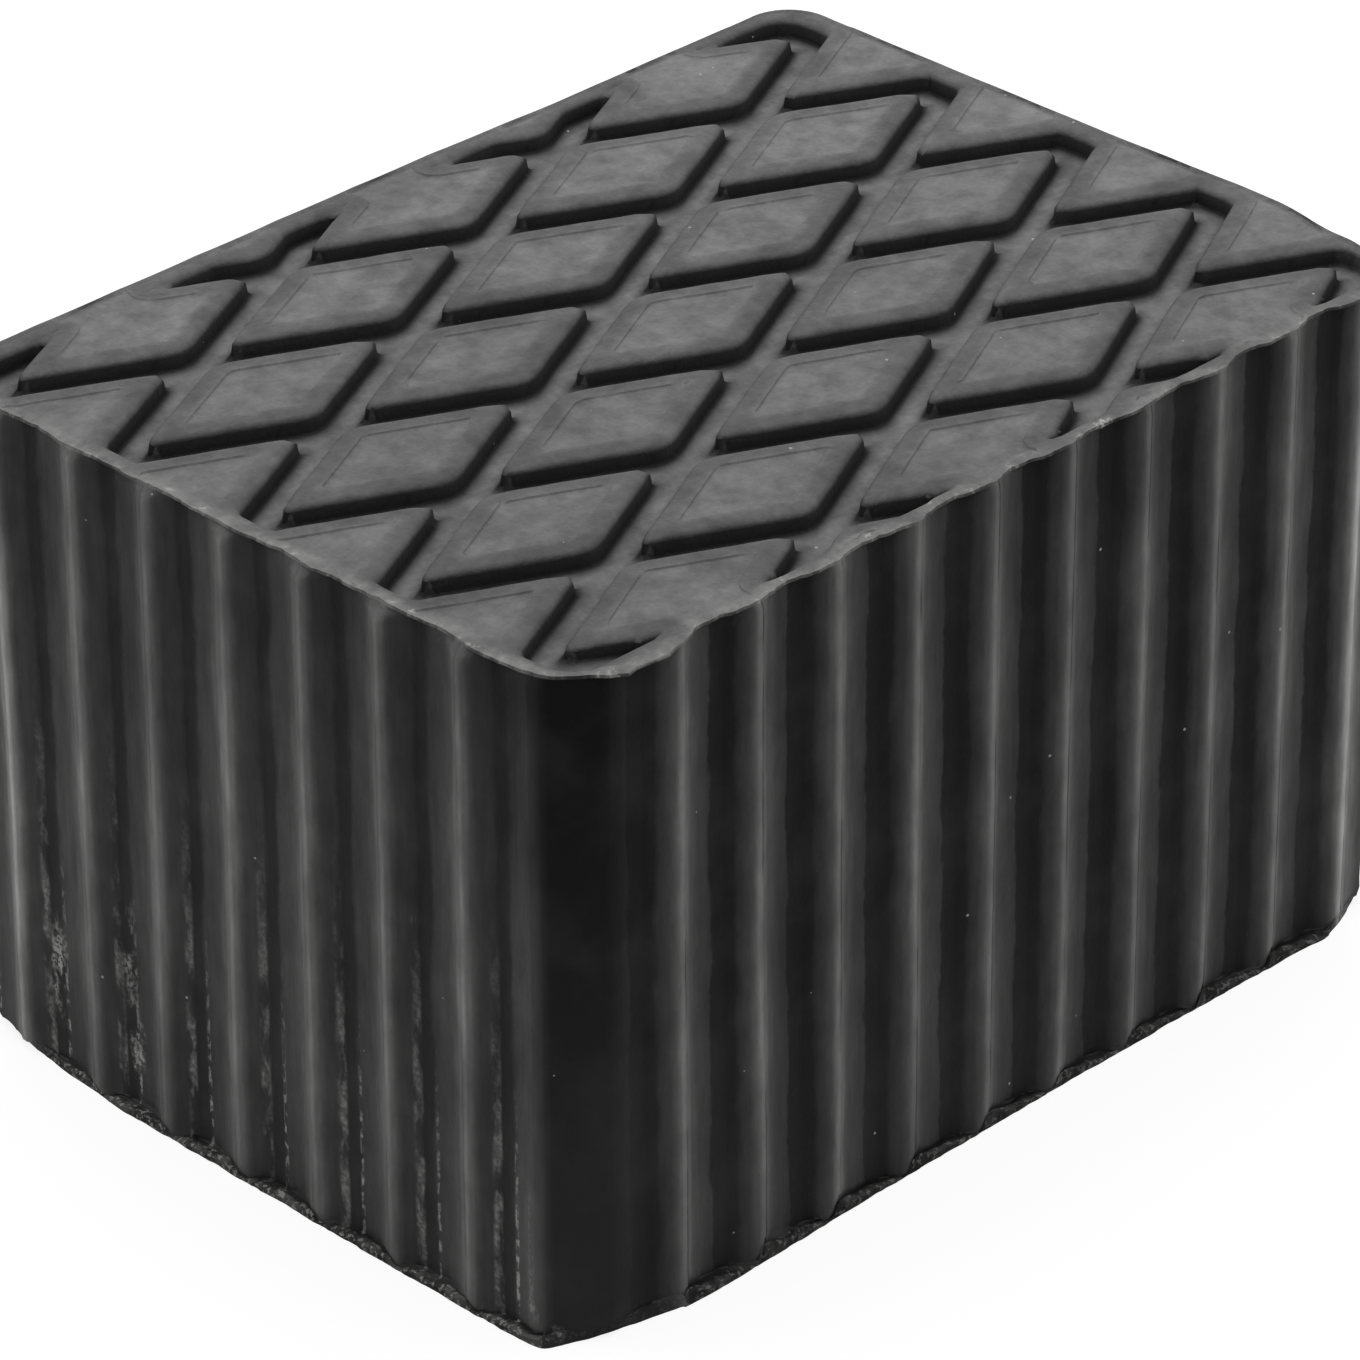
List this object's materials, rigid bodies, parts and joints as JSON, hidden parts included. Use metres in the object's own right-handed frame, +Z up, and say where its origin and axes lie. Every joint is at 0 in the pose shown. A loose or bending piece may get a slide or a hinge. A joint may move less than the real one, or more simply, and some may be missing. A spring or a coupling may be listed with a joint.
{
  "type": "car lift rubber pad",
  "caption": "Moulded rubber block with fluted sides and a tread of raised lozenges, laid on a car lift's arm to carry a vehicle's sill.",
  "frame": {"origin": "centre of the flat underside", "axes": "+X along the long side, +Y along the short side, +Z up out of the tread"},
  "size_m": [0.1614, 0.1194, 0.097],
  "materials": {
    "rubber": "dull moulded black rubber, paler on the tread and along the flute crests"
  },
  "bodies": {
    "root": {"rubber_block": "rubber"}
  },
  "joints": []
}
